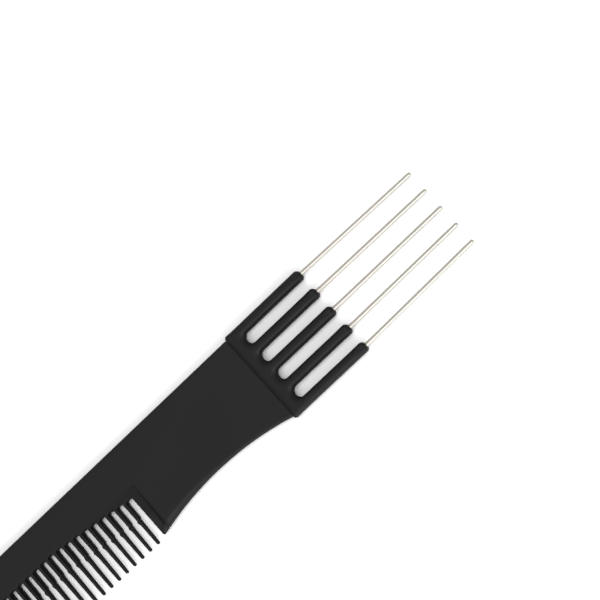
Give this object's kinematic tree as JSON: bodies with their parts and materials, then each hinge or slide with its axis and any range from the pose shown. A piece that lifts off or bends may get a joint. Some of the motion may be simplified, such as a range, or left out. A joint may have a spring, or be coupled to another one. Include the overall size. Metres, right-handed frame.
{
  "type": "teasing comb with lift pins",
  "caption": "Flat moulded teasing comb with a stepped fine tooth row, a hollowed handle and a sleeved holder of thin steel lift pins at the tail end.",
  "frame": {"origin": "middle of the comb's length and width, on the plane of the pin holder's back face, on which the comb lies", "axes": "+X along the comb from the tooth row to the pin tips, +Y from the tooth tips to the spine, +Z out of the face that shows"},
  "size_m": [0.2004, 0.0268, 0.004],
  "materials": {
    "comb_plastic": "satin moulded",
    "holder_plastic": "satin moulded",
    "pin_steel": "polished wire"
  },
  "bodies": {
    "root": {"comb_body": "comb_plastic", "pin_holder": "holder_plastic", "lift_pin_1": "pin_steel", "lift_pin_2": "pin_steel", "lift_pin_3": "pin_steel", "lift_pin_4": "pin_steel", "lift_pin_5": "pin_steel"}
  },
  "joints": []
}
